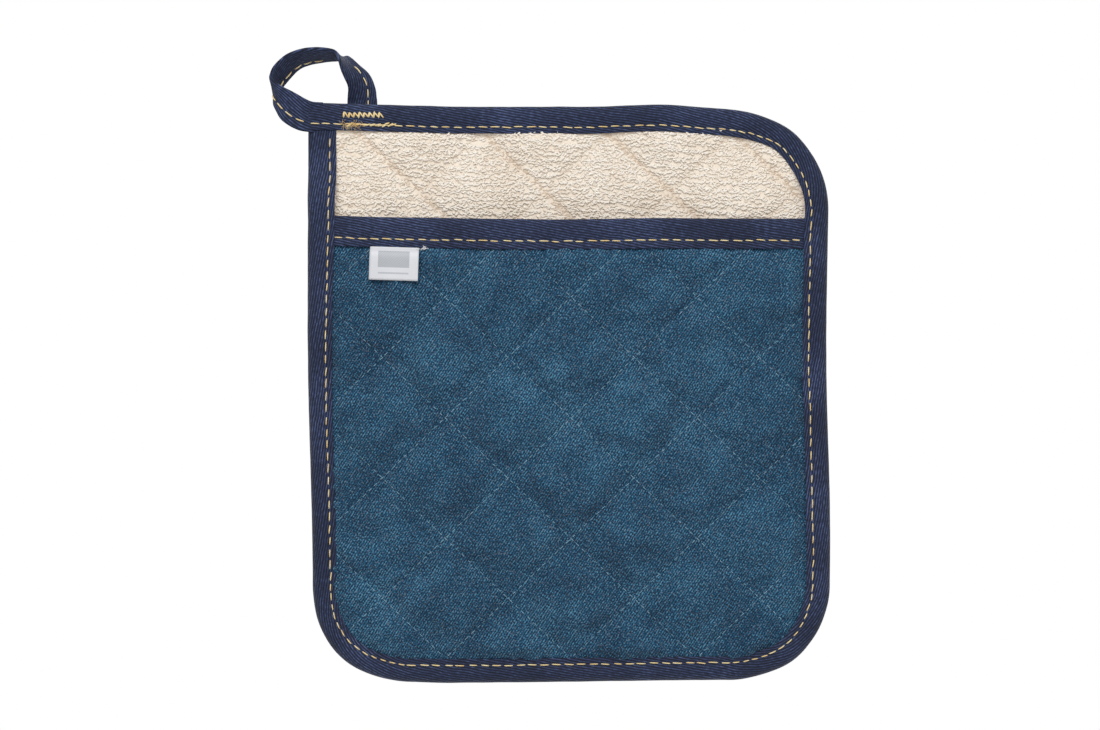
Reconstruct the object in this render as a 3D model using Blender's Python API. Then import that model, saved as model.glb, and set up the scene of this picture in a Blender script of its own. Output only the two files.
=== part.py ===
"""Pocket pot holder: two quilted square panels bound with folded tape, hung by a tape loop.

Metres. +X is to the right as seen from the front, +Z is up, and the front with the pocket faces -Y.
The origin is where a hook bears inside the loop, so the body hangs below it and mostly to its right.
"""
import math

import bmesh
import bpy

# Overall sizes of the bound body, and where the hook stands from its top left corner
BODY_WIDTH = 0.216
BODY_HEIGHT = 0.240
HOOK_TO_LEFT_EDGE = 0.0070
HOOK_TO_TOP_EDGE = 0.0183
BOTTOM_RADIUS = 0.0415
TOP_RIGHT_RADIUS = 0.0436
SQUARE_CORNER_RADIUS = 0.0012
SHARPEST_RADIUS = 0.0003

# Cloth layers of one quilted panel, as pressed together at the seams
DENIM = 0.0007
BATTING = 0.0012
TERRY = 0.0010
GAP = 0.0003
SEAM_SLOT = 0.0015
LOFT = 0.0030
LOFT_RUN = 0.0070
FLAT_RINGS = (0.50, 0.85)

# Pocket: how far its mouth lies below the top edge, and how far its middle stands off the back
MOUTH_DROP = 0.0467
POCKET_BOW = 0.0090
BOW_SHARPNESS = 1.5
MOUTH_STEPS = 20

# Folded tapes
TAPE = 0.0009
BINDING_WIDTH = 0.0102
MOUTH_TAPE_WIDTH = 0.0122
LOOP_TAPE_WIDTH = 0.0122
STITCH_FROM_EDGE = 0.0026
MOUTH_STITCH_FROM_EDGE = 0.0035
FOLD_SOFTNESS = 0.6 * TAPE
STEP_ABOVE_MOUTH = 0.0090
STEP_RUN = 0.0200
STEP_CLEARANCE = 0.0005

# Threads
THREAD_WIDTH = 0.0007
THREAD_DEPTH = 0.0004
QUILT_THREAD_WIDTH = 0.0005
QUILT_STEP_X = 0.0260
QUILT_STEP_Z = 0.0249
QUILT_BRIDGE = 0.0030
QUILT_END = 0.0010
QUILT_PHASE_X = 0.0010
QUILT_PHASE_Z = -0.0096
TACK_WIDTH = 0.0166
TACK_HEIGHT = 0.0025
TACK_DROP = 0.0037
TACK_ZIGS = 8

# Label, and the play left at the line where the loop folds
LABEL_WIDTH = 0.0204
LABEL_HEIGHT = 0.0135
LABEL_THICKNESS = 0.0003
LABEL_FROM_LEFT = 0.0361
FOLD_ABOVE_TOP = 0.0014
TAIL_LENGTH = 0.0119

# Worked out from the sizes above
BODY_LEFT = -HOOK_TO_LEFT_EDGE
BODY_RIGHT = BODY_LEFT + BODY_WIDTH
BODY_TOP = -HOOK_TO_TOP_EDGE
BODY_BOTTOM = BODY_TOP - BODY_HEIGHT
MOUTH_Z = BODY_TOP - MOUTH_DROP
PANEL = DENIM + GAP + BATTING + GAP + TERRY
INNER = SEAM_SLOT / 2
OUTER = INNER + PANEL
BINDING_BACK = OUTER + GAP + TAPE
BINDING_FRONT = -BINDING_BACK
TOP_BINDING_FRONT = INNER - GAP - TAPE
MIDDLE_X = BODY_LEFT + BODY_WIDTH / 2
INSET = TAPE + GAP
RIM = BINDING_WIDTH + GAP
POCKET_RIM = MOUTH_TAPE_WIDTH + 2 * GAP
LOOP_TAPE = 2 * TAPE
TAIL_Y = BINDING_BACK + GAP + THREAD_DEPTH + GAP + LOOP_TAPE / 2
FOLD_Z = BODY_TOP + FOLD_ABOVE_TOP
FOLD_PLAY = LOOP_TAPE / 2 + GAP
LOOP_ROOT_Y = (TOP_BINDING_FRONT + BINDING_BACK) / 2


def clear_scene():
    for old in list(bpy.data.objects):
        bpy.data.objects.remove(old)


def make_material(name, colour, roughness):
    material = bpy.data.materials.new(name)
    material.use_nodes = True
    shader = material.node_tree.nodes["Principled BSDF"]
    shader.inputs["Base Color"].default_value = (*colour, 1.0)
    shader.inputs["Roughness"].default_value = roughness
    shader.inputs["Metallic"].default_value = 0.0
    return material


def add_solid(name, vertices, faces, look, parent, origin=(0.0, 0.0, 0.0)):
    """A mesh object from points and faces, with its faces turned outwards."""
    mesh = bpy.data.meshes.new(name)
    bm = bmesh.new()
    corners = [bm.verts.new([p - o for p, o in zip(point, origin)]) for point in vertices]
    for face in faces:
        bm.faces.new([corners[i] for i in face])
    bmesh.ops.recalc_face_normals(bm, faces=bm.faces)
    bm.to_mesh(mesh)
    bm.free()
    solid = bpy.data.objects.new(name, mesh)
    bpy.context.scene.collection.objects.link(solid)
    solid.data.materials.append(look)
    solid.location = origin
    if parent is not None:
        solid.parent = parent
        solid.matrix_parent_inverse = parent.matrix_basis.inverted()
    return solid


def add_pivot(name, place):
    pivot = bpy.data.objects.new(name, None)
    pivot.location = place
    pivot.empty_display_size = 0.01
    bpy.context.scene.collection.objects.link(pivot)
    return pivot


def add_slab(name, points, faces, look, parent, origin=(0.0, 0.0, 0.0)):
    """A flat pattern given thickness: each point is (x, z, y of its front, y of its back)."""
    count = len(points)
    vertices = [(x, front, z) for x, z, front, back in points]
    vertices += [(x, back, z) for x, z, front, back in points]
    directed = {(face[i], face[(i + 1) % len(face)]) for face in faces for i in range(len(face))}
    solid_faces = list(faces)
    solid_faces += [[count + i for i in reversed(face)] for face in faces]
    solid_faces += [[b, a, count + a, count + b] for a, b in directed if (b, a) not in directed]
    return add_solid(name, vertices, solid_faces, look, parent, origin)


def add_sweep(name, rings, look, parent, closed=False):
    """A solid through a row of equal rings of points, closed on itself or capped at both ends."""
    size = len(rings[0])
    vertices = [point for ring in rings for point in ring]
    spans = len(rings) if closed else len(rings) - 1
    faces = []
    for s in range(spans):
        near = s * size
        far = (s + 1) % len(rings) * size
        for i in range(size):
            j = (i + 1) % size
            faces.append([near + i, near + j, far + j, far + i])
    if not closed:
        faces.append(list(range(size)))
        faces.append([(len(rings) - 1) * size + i for i in reversed(range(size))])
    return add_solid(name, vertices, faces, look, parent)


def blend(low, high, share):
    return low + (high - low) * share


def smooth(share):
    share = min(max(share, 0.0), 1.0)
    return share * share * (3 - 2 * share)


def straight_run(start, end, steps):
    return [[blend(a, b, i / steps) for a, b in zip(start, end)] for i in range(1, steps)]


def crowded_run(start, end, steps):
    """A straight run whose points crowd together towards its two ends."""
    shares = [(1 - math.cos(math.pi * i / steps)) / 2 for i in range(1, steps)]
    return [[blend(a, b, share) for a, b in zip(start, end)] for share in shares]


def corner_arc(x, z, radius, start_degrees, steps):
    angles = [math.radians(start_degrees + 90 * i / steps) for i in range(steps + 1)]
    return [[x + radius * math.cos(a), z + radius * math.sin(a)] for a in angles]


def outline(inset, top=BODY_TOP, right_radius=TOP_RIGHT_RADIUS):
    """The body's outline drawn in by inset, from its top left corner down and round."""
    left = BODY_LEFT + inset
    right = BODY_RIGHT - inset
    low = BODY_BOTTOM + inset
    high = top - inset
    low_r = max(BOTTOM_RADIUS - inset, SHARPEST_RADIUS)
    right_r = max(right_radius - inset, SHARPEST_RADIUS)
    left_r = max(SQUARE_CORNER_RADIUS - inset, SHARPEST_RADIUS)
    lower_left = corner_arc(left + low_r, low + low_r, low_r, 180, 8)
    lower_right = corner_arc(right - low_r, low + low_r, low_r, 270, 8)
    upper_right = corner_arc(right - right_r, high - right_r, right_r, 0, 8)
    upper_left = corner_arc(left + left_r, high - left_r, left_r, 90, 2)
    lowest_high = min(upper_right[0][1], upper_left[-1][1])
    step_z = min(MOUTH_Z + STEP_ABOVE_MOUTH, lowest_high - STEP_CLEARANCE)
    points = [[left, step_z]]
    points += straight_run([left, step_z], lower_left[0], 8)
    points += lower_left
    points += straight_run(lower_left[-1], lower_right[0], 9)
    points += lower_right
    points += straight_run(lower_right[-1], [right, step_z], 8)
    points.append([right, step_z])
    points += upper_right
    points += crowded_run(upper_right[-1], upper_left[0], 20)
    points += upper_left
    points += straight_run(upper_left[-1], [left, step_z], 3)
    return points


def inner_right_edge(z):
    """How far right the binding's inner edge lies at a height."""
    right = BODY_RIGHT - BINDING_WIDTH
    radius = TOP_RIGHT_RADIUS - BINDING_WIDTH
    into_arc = max(0.0, z - (BODY_TOP - TOP_RIGHT_RADIUS))
    return right - radius + math.sqrt(radius * radius - into_arc * into_arc)


def bow(x, z):
    """How far the front panel stands off its seam plane: most at the middle of the mouth."""
    half = BODY_WIDTH / 2 - POCKET_RIM
    depth = MOUTH_Z - (BODY_BOTTOM + POCKET_RIM)
    across = (x - MIDDLE_X) / half
    down = min(max((MOUTH_Z - z) / depth, 0.0), 1.0)
    rise = max(0.0, 1 - across * across) * (1 - down ** 3)
    return POCKET_BOW * rise ** BOW_SHARPNESS


def loops_pattern(loops, centre):
    """Rings of points from the rim inwards, closed by a fan round one middle point."""
    count = len(loops[0])
    faces = []
    for level in range(len(loops) - 1):
        outer = level * count
        inner = outer + count
        for i in range(count):
            j = (i + 1) % count
            faces.append([outer + i, outer + j, inner + j])
            faces.append([outer + i, inner + j, inner + i])
    last = (len(loops) - 1) * count
    middle = last + count
    faces += [[last + i, last + (i + 1) % count, middle] for i in range(count)]
    return [point for loop in loops for point in loop] + [centre], faces


def add_back_layer(name, near, thickness, near_lofted, far_lofted, look, parent):
    """One layer of the back panel: pressed thin at the rim, lofted over the flat field."""
    levels = [(INSET, 0.0), (RIM, 0.0), (RIM + LOFT_RUN, LOFT)]

    def place(x, z, loft):
        front = near + (loft if near_lofted else 0.0)
        back = near + thickness + (loft if far_lofted else 0.0)
        return (x, z, front, back)

    loops = [[place(x, z, loft) for x, z in outline(inset)] for inset, loft in levels]
    centre = place(MIDDLE_X, (BODY_TOP + BODY_BOTTOM) / 2, LOFT)
    points, faces = loops_pattern(loops, centre)
    add_slab(name, points, faces, look, parent)


def add_front_layer(name, near, thickness, near_lofted, far_lofted, look, parent):
    """One layer of the pocket panel, mirrored to the front and bowed out at its mouth."""
    reach = min(BODY_WIDTH, MOUTH_Z - BODY_BOTTOM) / 2
    levels = [(INSET, 0.0), (POCKET_RIM, 0.0), (POCKET_RIM + LOFT_RUN, LOFT)]
    levels += [(reach * share, LOFT) for share in FLAT_RINGS]

    def place(x, z, loft):
        stand = bow(x, z)
        back = -(near + (loft if near_lofted else 0.0) + stand)
        front = -(near + thickness + (loft if far_lofted else 0.0) + stand)
        return (x, z, front, back)

    loops = []
    for inset, loft in levels:
        loop = outline(inset, MOUTH_Z, SQUARE_CORNER_RADIUS)
        loops.append([place(x, z, loft) for x, z in loop])
    centre = place(MIDDLE_X, (MOUTH_Z + BODY_BOTTOM) / 2, LOFT)
    points, faces = loops_pattern(loops, centre)
    add_slab(name, points, faces, look, parent)


def binding_front(z):
    """The binding's front face: over both panels below the mouth, over the back one above it."""
    above = smooth((z - (MOUTH_Z + STEP_ABOVE_MOUTH)) / STEP_RUN)
    return blend(BINDING_FRONT, TOP_BINDING_FRONT, above)


def add_edge_binding(look, parent):
    """Folded tape round the whole edge: a U over the panels' rims."""
    soft = FOLD_SOFTNESS
    insets = [BINDING_WIDTH, soft, 0.0, 0.0, soft, BINDING_WIDTH]
    insets += [BINDING_WIDTH, TAPE, TAPE, BINDING_WIDTH]
    loops = [outline(inset) for inset in insets]
    rings = []
    for station in range(len(loops[0])):
        front = binding_front(loops[2][station][1])
        heights = [front, front, front + soft, BINDING_BACK - soft, BINDING_BACK, BINDING_BACK]
        heights += [BINDING_BACK - TAPE, BINDING_BACK - TAPE, front + TAPE, front + TAPE]
        rings.append([(loop[station][0], y, loop[station][1]) for loop, y in zip(loops, heights)])
    add_sweep("edge_binding", rings, look, parent, closed=True)


def mouth_stations():
    start = BODY_LEFT + BINDING_WIDTH + GAP
    end = inner_right_edge(MOUTH_Z) - GAP
    return [blend(start, end, i / MOUTH_STEPS) for i in range(MOUTH_STEPS + 1)]


def add_pocket_binding(look, parent):
    """Folded tape over the front panel's top edge."""
    soft = FOLD_SOFTNESS
    low = MOUTH_Z - MOUTH_TAPE_WIDTH
    rings = []
    for x in mouth_stations():
        stand = bow(x, MOUTH_Z)
        front = BINDING_FRONT - stand
        back = -(INNER - GAP - TAPE) - stand
        profile = [(front, low), (front, MOUTH_Z - soft), (front + soft, MOUTH_Z)]
        profile += [(back - soft, MOUTH_Z), (back, MOUTH_Z - soft), (back, low)]
        profile += [(back - TAPE, low), (back - TAPE, MOUTH_Z - TAPE)]
        profile += [(front + TAPE, MOUTH_Z - TAPE), (front + TAPE, low)]
        rings.append([(x, y, z) for y, z in profile])
    add_sweep("pocket_binding", rings, look, parent)


def add_edge_topstitch(name, on_back, look, parent):
    """The seam that closes the edge binding, as it lies on one face of the tape."""
    inner = BINDING_WIDTH - STITCH_FROM_EDGE + THREAD_WIDTH / 2
    points = []
    for inset in (inner - THREAD_WIDTH, inner):
        for x, z in outline(inset):
            seat = BINDING_BACK + GAP + THREAD_DEPTH if on_back else binding_front(z) - GAP
            points.append((x, z, seat - THREAD_DEPTH, seat))
    count = len(points) // 2
    faces = [[i, (i + 1) % count, count + (i + 1) % count, count + i] for i in range(count)]
    add_slab(name, points, faces, look, parent)


def add_ribbon(name, line, width, look, parent):
    """A thread along a row of (x, z, y of its back) points, of even height."""
    count = len(line)
    points = [(x, z + width / 2, y - THREAD_DEPTH, y) for x, z, y in line]
    points += [(x, z - width / 2, y - THREAD_DEPTH, y) for x, z, y in line]
    faces = [[i, i + 1, count + i + 1, count + i] for i in range(count - 1)]
    add_slab(name, points, faces, look, parent)


def add_pocket_topstitch(look, parent):
    z = MOUTH_Z - MOUTH_TAPE_WIDTH + MOUTH_STITCH_FROM_EDGE
    line = [(x, z, BINDING_FRONT - bow(x, MOUTH_Z) - GAP) for x in mouth_stations()]
    add_ribbon("pocket_topstitch", line, THREAD_WIDTH, look, parent)


def tail_middle():
    return LOOP_ROUTE[-1][0]


def add_tacks(look, parent):
    """The zigzag that holds the loop's end, on the binding's front and on the tail's back."""
    steps = 2 * TACK_ZIGS
    for name, seat in (
        ("tack_zigzag_front", TOP_BINDING_FRONT - GAP),
        ("tack_zigzag_back", TAIL_Y + LOOP_TAPE / 2 + GAP + THREAD_DEPTH),
    ):
        width = TACK_WIDTH if name == "tack_zigzag_front" else LOOP_TAPE_WIDTH
        line = []
        for i in range(steps + 1):
            x = tail_middle() + width * (i / steps - 0.5)
            side = 1 if i % 2 else -1
            line.append((x, BODY_TOP - TACK_DROP + side * TACK_HEIGHT / 2, seat))
        add_ribbon(name, line, THREAD_WIDTH, look, parent)


def pocket_inset(x, z):
    """How far a point lies inside the front panel's outline, with its round bottom corners."""
    past_x = max(BODY_LEFT + BOTTOM_RADIUS - x, x - (BODY_RIGHT - BOTTOM_RADIUS), 0.0)
    past_z = max(BODY_BOTTOM + BOTTOM_RADIUS - z, 0.0)
    if past_x > 0.0 and past_z > 0.0:
        edge = BOTTOM_RADIUS - math.hypot(past_x, past_z)
    else:
        edge = min(x - BODY_LEFT, BODY_RIGHT - x, z - BODY_BOTTOM)
    return min(edge, MOUTH_Z - z)


def quilt_region(x, z, margin=0.0):
    """True where the front panel's quilting shows between its bindings, by a margin."""
    return pocket_inset(x, z) > POCKET_RIM + GAP + margin


def clip_to_region(inside, outside):
    """The last point in the region on the way towards a place that has no knot."""
    near = 0.0
    far = 1 - QUILT_END / math.dist(inside, outside)
    for _ in range(20):
        middle = (near + far) / 2
        x, z = (blend(a, b, middle) for a, b in zip(inside, outside))
        if quilt_region(x, z):
            near = middle
        else:
            far = middle
    return tuple(blend(a, b, near) for a, b in zip(inside, outside))


def add_quilting_thread(look, parent):
    """The diamond quilting of the front panel, one net of thread lying on the denim."""
    start_x = MIDDLE_X + QUILT_PHASE_X
    start_z = (BODY_TOP + BODY_BOTTOM) / 2 + QUILT_PHASE_Z
    reach = range(-8, 9)
    length = math.hypot(QUILT_STEP_X, QUILT_STEP_Z)
    rising = (QUILT_STEP_X / length, QUILT_STEP_Z / length)
    falling = (QUILT_STEP_X / length, -QUILT_STEP_Z / length)
    half = QUILT_THREAD_WIDTH / 2
    points = []
    faces = []

    def add_point(x, z):
        slope = min(max((pocket_inset(x, z) + QUILT_BRIDGE - POCKET_RIM) / LOFT_RUN, 0.0), 1.0)
        seat = -(OUTER + LOFT * slope + bow(x, z)) - GAP
        points.append((x, z, seat - THREAD_DEPTH, seat))
        return len(points) - 1

    def add_arm(first, last, corners, end_corners, across, sides):
        """A strip from one knot to the next, or to a cut end where end_corners is None."""
        steps = 4
        row = corners
        for i in range(1, steps + 1):
            if i == steps and end_corners is not None:
                new_row = end_corners
            else:
                x, z = (blend(a, b, i / steps) for a, b in zip(first, last))
                shifts = [(side * half * across[0], side * half * across[1]) for side in sides]
                new_row = [add_point(x + dx, z + dz) for dx, dz in shifts]
            faces.append([row[0], row[1], new_row[1], new_row[0]])
            row = new_row

    knots = {}
    for i in reach:
        for j in reach:
            place = (start_x + i * QUILT_STEP_X, start_z + j * QUILT_STEP_Z)
            if (i + j) % 2 and quilt_region(*place, QUILT_END):
                corner = {}
                for a in (1, -1):
                    for b in (1, -1):
                        x = place[0] + half * (a * rising[0] + b * falling[0])
                        z = place[1] + half * (a * rising[1] + b * falling[1])
                        corner[a, b] = add_point(x, z)
                knots[i, j] = (place, corner)
                faces.append([corner[1, 1], corner[1, -1], corner[-1, -1], corner[-1, 1]])
    for (i, j), (place, corner) in knots.items():
        for along, across, step in ((rising, falling, (1, 1)), (falling, rising, (1, -1))):
            for way in (1, -1):
                there = (i + way * step[0], j + way * step[1])
                rises = step == (1, 1)
                sides = (-1, 1) if rises == (way == 1) else (1, -1)
                mine = [corner[(way, s) if rises else (s, way)] for s in sides]
                if there in knots:
                    if way == 1:
                        goal, far = knots[there]
                        theirs = [far[(-way, s) if rises else (s, -way)] for s in sides]
                        add_arm(place, goal, mine, theirs, across, sides)
                else:
                    reach_x = way * length * along[0]
                    reach_z = way * length * along[1]
                    end = clip_to_region(place, (place[0] + reach_x, place[1] + reach_z))
                    add_arm(place, end, mine, None, across, sides)
    add_slab("front_quilting_thread", points, faces, look, parent)


# How far below the body's top the middle of the loop's tape leaves the corner
ROOT_DROP = 0.0046

# The loop's route: x, z and y of the tape's middle, and its turn in degrees, from 90 where the
# tape's folded edge points into the eye to 0 where that edge faces the front
LOOP_ROUTE = [
    (BODY_LEFT - 2 * GAP, BODY_TOP - ROOT_DROP, LOOP_ROOT_Y, 90),
    (-0.0120, BODY_TOP - ROOT_DROP + 2 * GAP, LOOP_ROOT_Y, 84),
    (-0.0172, -0.0182, 0.0026, 60),
    (-0.0205, -0.0128, 0.0028, 32),
    (-0.0212, -0.0075, 0.0032, 12),
    (-0.0195, -0.0025, 0.0036, 0),
    (-0.0150, 0.0010, 0.0040, -10),
    (-0.0086, 0.0028, 0.0043, -17),
    (-0.0010, 0.0032, 0.0046, -16),
    (0.0048, 0.0021, 0.0050, -7),
    (0.0083, -0.0010, 0.0056, 18),
    (0.0108, -0.0046, 0.0062, 52),
    (0.0129, -0.0082, 0.0068, 76),
    (0.0145, -0.0122, TAIL_Y, 88),
    (0.0148, FOLD_Z + FOLD_PLAY, TAIL_Y, 90),
]


def through_points(points, steps):
    """A smooth curve through a row of points, with steps samples in each span."""
    curve = []
    for i in range(len(points) - 1):
        before = points[max(i - 1, 0)]
        start = points[i]
        end = points[i + 1]
        after = points[min(i + 2, len(points) - 1)]
        for k in range(steps):
            t = k / steps
            curve.append([
                0.5 * (2 * b + (c - a) * t + (2 * a - 5 * b + 4 * c - d) * t * t
                       + (3 * b - a - 3 * c + d) * t ** 3)
                for a, b, c, d in zip(before, start, end, after)
            ])
    curve.append(list(points[-1]))
    return curve


def loop_frames():
    """Middle, width direction and face normal of the loop's tape, station by station."""
    route = through_points(LOOP_ROUTE, 5)
    frames = []
    for i, (x, z, y, turn) in enumerate(route):
        before = route[max(i - 1, 0)]
        after = route[min(i + 1, len(route) - 1)]
        run = math.hypot(after[0] - before[0], after[1] - before[1])
        along = ((after[0] - before[0]) / run, (after[1] - before[1]) / run)
        angle = math.radians(turn)
        width = (math.sin(angle) * along[1], -math.cos(angle), -math.sin(angle) * along[0])
        normal = (
            width[1] * along[1],
            width[2] * along[0] - width[0] * along[1],
            -width[1] * along[0],
        )
        frames.append(((x, y, z), width, normal))
    return frames


def tape_point(frame, across, out):
    middle, width, normal = frame
    return tuple(m + across * w + out * n for m, w, n in zip(middle, width, normal))


def add_loop_strip(name, across, out, look, parent):
    """A strip of the loop between two places across its tape and two heights off its middle."""
    rings = []
    for frame in loop_frames():
        rings.append([tape_point(frame, a, o) for a, o in (
            (across[0], out[0]), (across[1], out[0]), (across[1], out[1]), (across[0], out[1]),
        )])
    add_sweep(name, rings, look, parent)


def add_hang_loop(look, thread, parent):
    half = LOOP_TAPE_WIDTH / 2
    add_loop_strip("hang_loop", (-half, half), (-LOOP_TAPE / 2, LOOP_TAPE / 2), look, parent)
    line = -half + STITCH_FROM_EDGE
    across = (line - THREAD_WIDTH / 2, line + THREAD_WIDTH / 2)
    near = LOOP_TAPE / 2 + 2 * GAP
    add_loop_strip("loop_topstitch_outer", across, (near, near + THREAD_DEPTH), thread, parent)
    add_loop_strip("loop_topstitch_inner", across, (-near - THREAD_DEPTH, -near), thread, parent)


def add_rectangle(name, x_span, z_span, y_span, look, parent):
    left, right = x_span
    low, high = z_span
    points = [(x, z, *y_span) for x, z in ((left, low), (right, low), (right, high), (left, high))]
    add_slab(name, points, [[0, 1, 2, 3]], look, parent)


def add_loop_tail(look, parent):
    """The loop's sewn end, lying behind the top binding."""
    half = LOOP_TAPE_WIDTH / 2
    high = FOLD_Z - FOLD_PLAY
    span = (TAIL_Y - LOOP_TAPE / 2, TAIL_Y + LOOP_TAPE / 2)
    sides = (tail_middle() - half, tail_middle() + half)
    add_rectangle("loop_tail", sides, (high - TAIL_LENGTH, high), span, look, parent)


def label_pivot():
    """Middle of the label's sewn top edge, and the slope of the panel that it lies along."""
    x = BODY_LEFT + LABEL_FROM_LEFT
    reach = LABEL_WIDTH / 2
    slope = (bow(x + reach, MOUTH_Z) - bow(x - reach, MOUTH_Z)) / LABEL_WIDTH
    y = -(OUTER + LOFT + bow(x, MOUTH_Z)) - GAP - THREAD_DEPTH - GAP
    return (x, y, MOUTH_Z - MOUTH_TAPE_WIDTH - GAP), slope


def add_label(look):
    """A small folded woven label, hinged along its sewn top edge."""
    (x, y, z), slope = label_pivot()
    pivot = add_pivot("label_pivot", (x, y, z))
    points = []
    for side, level in ((-1, z), (1, z), (1, z - LABEL_HEIGHT), (-1, z - LABEL_HEIGHT)):
        back = y - side * slope * LABEL_WIDTH / 2
        points.append((x + side * LABEL_WIDTH / 2, level, back - LABEL_THICKNESS, back))
    add_slab("label", points, [[0, 1, 2, 3]], look, pivot, (x, y, z))


def build():
    clear_scene()
    denim = make_material("blue_denim", (0.025, 0.088, 0.170), 0.9)
    batting = make_material("white_batting", (0.80, 0.79, 0.76), 1.0)
    terry = make_material("cream_terry", (0.80, 0.77, 0.68), 1.0)
    tape = make_material("navy_twill_tape", (0.026, 0.033, 0.110), 0.85)
    gold = make_material("gold_topstitch_thread", (0.73, 0.46, 0.13), 0.6)
    blue = make_material("pale_blue_quilting_thread", (0.12, 0.30, 0.42), 0.6)
    satin = make_material("white_satin_label", (0.85, 0.85, 0.83), 0.5)
    terry_start = INNER
    batting_start = terry_start + TERRY + GAP
    denim_start = batting_start + BATTING + GAP
    add_back_layer("back_terry", terry_start, TERRY, False, False, terry, None)
    add_back_layer("back_batting", batting_start, BATTING, False, True, batting, None)
    add_back_layer("back_denim", denim_start, DENIM, True, True, denim, None)
    add_front_layer("front_terry", terry_start, TERRY, False, False, terry, None)
    add_front_layer("front_batting", batting_start, BATTING, False, True, batting, None)
    add_front_layer("front_denim", denim_start, DENIM, True, True, denim, None)
    add_edge_binding(tape, None)
    add_pocket_binding(tape, None)
    add_loop_tail(tape, None)
    add_edge_topstitch("edge_topstitch_front", False, gold, None)
    add_edge_topstitch("edge_topstitch_back", True, gold, None)
    add_pocket_topstitch(gold, None)
    add_quilting_thread(blue, None)
    add_tacks(gold, None)
    loop_pivot = add_pivot("loop_pivot", (0.0, TAIL_Y, FOLD_Z))
    add_hang_loop(tape, gold, loop_pivot)
    add_label(satin)


build()
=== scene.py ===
"""Looks of the pocket pot holder: quilted denim, looped terry, folded tape, thread and a label."""
import math
import random

import bpy
import numpy as np
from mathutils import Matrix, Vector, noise


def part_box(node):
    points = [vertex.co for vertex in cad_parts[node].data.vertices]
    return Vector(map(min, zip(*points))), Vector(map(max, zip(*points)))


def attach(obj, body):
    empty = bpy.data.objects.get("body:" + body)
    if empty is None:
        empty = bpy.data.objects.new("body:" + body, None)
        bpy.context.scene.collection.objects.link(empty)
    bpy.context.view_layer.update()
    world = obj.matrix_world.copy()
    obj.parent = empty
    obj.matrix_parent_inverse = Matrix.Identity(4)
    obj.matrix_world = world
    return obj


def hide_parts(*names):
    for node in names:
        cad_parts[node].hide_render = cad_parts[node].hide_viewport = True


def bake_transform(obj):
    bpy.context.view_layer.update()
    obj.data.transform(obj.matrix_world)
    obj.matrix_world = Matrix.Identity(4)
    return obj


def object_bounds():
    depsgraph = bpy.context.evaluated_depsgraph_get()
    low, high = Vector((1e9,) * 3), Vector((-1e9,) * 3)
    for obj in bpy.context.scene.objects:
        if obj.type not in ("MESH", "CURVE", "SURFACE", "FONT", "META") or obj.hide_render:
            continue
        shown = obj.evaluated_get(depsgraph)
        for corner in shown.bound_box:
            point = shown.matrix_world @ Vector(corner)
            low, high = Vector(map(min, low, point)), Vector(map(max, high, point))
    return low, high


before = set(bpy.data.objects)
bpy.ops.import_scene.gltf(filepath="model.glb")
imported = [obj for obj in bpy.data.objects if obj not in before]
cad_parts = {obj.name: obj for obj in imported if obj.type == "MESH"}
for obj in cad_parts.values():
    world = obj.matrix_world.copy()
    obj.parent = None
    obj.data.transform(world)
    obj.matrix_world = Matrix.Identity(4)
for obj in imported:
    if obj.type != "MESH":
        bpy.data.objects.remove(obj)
cad_low, cad_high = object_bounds()

# ----------------------------------------------------------
# Studio. A white room with one large soft light above and to the left, and a small pale disc of
# floor below the hook, which the cloth hangs clear of. The camera looks straight at the front.

cad_middle = (cad_low + cad_high) / 2
view_width = 0.457
lens = 120.0
sensor = 36.0
aim_x = 0.0933
aim_z = -0.1259
floor_drop = 0.052
floor_radius = 0.42
floor_centre = (cad_middle.x, -0.13, cad_low.z - floor_drop)


def add_node(tree, kind, inputs=None, **settings):
    """A shader node with its settings, each input given as a value or as another node's output."""
    node = tree.nodes.new(kind)
    for name, value in settings.items():
        setattr(node, name, value)
    for name, value in (inputs or {}).items():
        socket = node.inputs[name]
        if isinstance(value, bpy.types.NodeSocket):
            tree.links.new(value, socket)
        else:
            socket.default_value = value
    return node


def calc(tree, operation, first, second=0.0, third=0.0):
    """The result of one sum on values or other nodes' outputs."""
    node = add_node(tree, "ShaderNodeMath", {0: first, 1: second, 2: third}, operation=operation)
    return node.outputs[0]


def speckle(tree, place, scale, detail):
    """Soft random noise over a surface, from 0 to 1."""
    inputs = {"Vector": place, "Scale": scale, "Detail": detail}
    return add_node(tree, "ShaderNodeTexNoise", inputs).outputs["Fac"]


def object_place(tree):
    return add_node(tree, "ShaderNodeTexCoord").outputs["Object"]


def new_material(name):
    material = bpy.data.materials.new(name)
    material.use_nodes = True
    return material, material.node_tree, material.node_tree.nodes["Principled BSDF"]


def ramp(tree, share, stops):
    """Colours along a share from 0 to 1, as (place, colour) stops."""
    node = add_node(tree, "ShaderNodeValToRGB", {"Fac": share})
    points = node.color_ramp.elements
    while len(points) < len(stops):
        points.new(0.5)
    for point, (place, colour) in zip(points, stops):
        point.position = place
        point.color = (*colour, 1.0)
    return node.outputs["Color"]


camera_data = bpy.data.cameras.new("camera")
camera_data.lens = lens
camera_data.sensor_width = sensor
camera = bpy.data.objects.new("camera", camera_data)
camera.location = (aim_x, -view_width * lens / sensor, aim_z)
camera.rotation_euler = (math.pi / 2, 0.0, 0.0)
bpy.context.scene.collection.objects.link(camera)
bpy.context.scene.camera = camera
bpy.context.scene.view_settings.view_transform = "Standard"


def add_soft_light(name, place, size, power):
    lamp = bpy.data.lights.new(name, "AREA")
    lamp.shape = "DISK"
    lamp.size = size
    lamp.energy = power
    holder = bpy.data.objects.new(name, lamp)
    holder.location = place
    facing = cad_middle - holder.location
    holder.rotation_euler = facing.to_track_quat("-Z", "Y").to_euler()
    bpy.context.scene.collection.objects.link(holder)


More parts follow.
